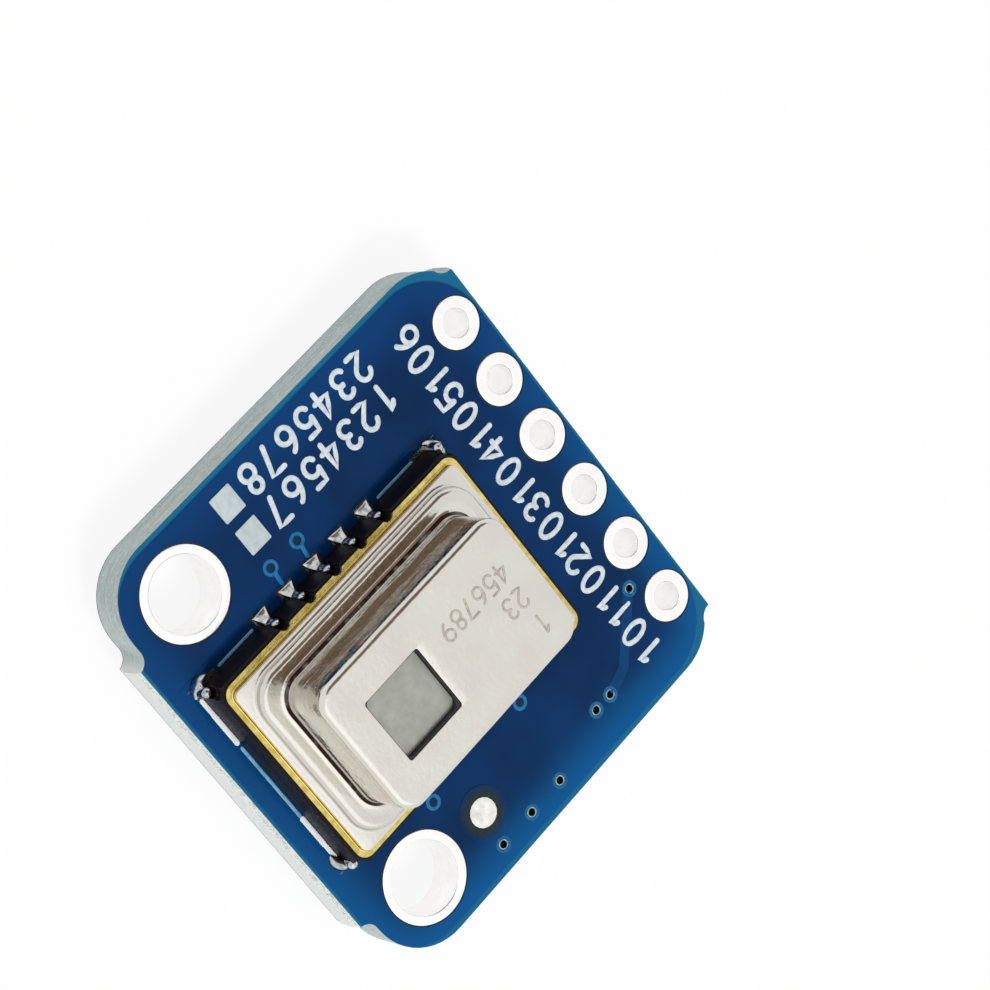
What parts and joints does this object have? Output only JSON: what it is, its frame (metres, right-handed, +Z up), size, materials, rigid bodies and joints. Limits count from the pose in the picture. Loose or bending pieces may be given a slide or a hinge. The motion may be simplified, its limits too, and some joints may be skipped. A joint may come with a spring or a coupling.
{
  "type": "infrared array sensor module",
  "caption": "Thermal camera sensor on a small breakout board, with plated header and mounting holes and surface-mounted parts on its underside.",
  "frame": {"origin": "below the middle of the board, on the surface that the underside packages stand on", "axes": "+X across the board, +Y towards the row of header holes, +Z up out of the sensor's side"},
  "size_m": [0.0176, 0.0174, 0.007],
  "materials": {
    "laminate": "woven glass-epoxy, routed edge",
    "mask": "glossy navy solder mask",
    "tin": "bright tin plate",
    "copper_land": "tinned copper",
    "solder": "bright solder",
    "ceramic": "dark fired ceramic",
    "gold": "gold plate",
    "cap_metal": "drawn sheet, nickel plated",
    "silicon_lens": "polished silicon",
    "bond": "cured adhesive",
    "silicon_chip": "diced silicon",
    "moulding": "black moulding compound",
    "leads": "tinned lead frame",
    "resistor_body": "dark overglaze on alumina",
    "capacitor_body": "tan fired ceramic"
  },
  "bodies": {
    "root": {"circuit_board": "laminate", "solder_mask_top": "mask", "solder_mask_bottom": "mask", "header_eyelet_1": "tin", "header_eyelet_2": "tin", "header_eyelet_3": "tin", "header_eyelet_4": "tin", "header_eyelet_5": "tin", "header_eyelet_6": "tin", "mounting_eyelet_left": "tin", "mounting_eyelet_right": "tin", "via_barrels": "tin", "fiducial_dot": "copper_land", "sensor_base": "ceramic", "terminal_01": "gold", "terminal_02": "gold", "terminal_03": "gold", "terminal_04": "gold", "terminal_05": "gold", "terminal_06": "gold", "terminal_07": "gold", "terminal_08": "gold", "terminal_09": "gold", "terminal_10": "gold", "terminal_11": "gold", "terminal_12": "gold", "terminal_13": "gold", "terminal_14": "gold", "sensor_solder": "solder", "sensor_lands": "copper_land", "seal_ring": "gold", "sensor_cap": "cap_metal", "lens": "silicon_lens", "lens_bond": "bond", "detector_chip": "silicon_chip", "amplifier_chip": "silicon_chip", "bond_wires": "gold", "regulator_body": "moulding", "regulator_leads": "leads", "transistor_left_body": "moulding", "transistor_left_leads": "leads", "transistor_right_body": "moulding", "transistor_right_leads": "leads", "resistor_1": "resistor_body", "resistor_2": "resistor_body", "resistor_3": "resistor_body", "resistor_4": "resistor_body", "capacitor_1": "capacitor_body", "capacitor_2": "capacitor_body", "capacitor_3": "capacitor_body", "chip_end_caps": "tin", "underside_solder": "solder", "underside_lands": "copper_land"}
  },
  "joints": []
}
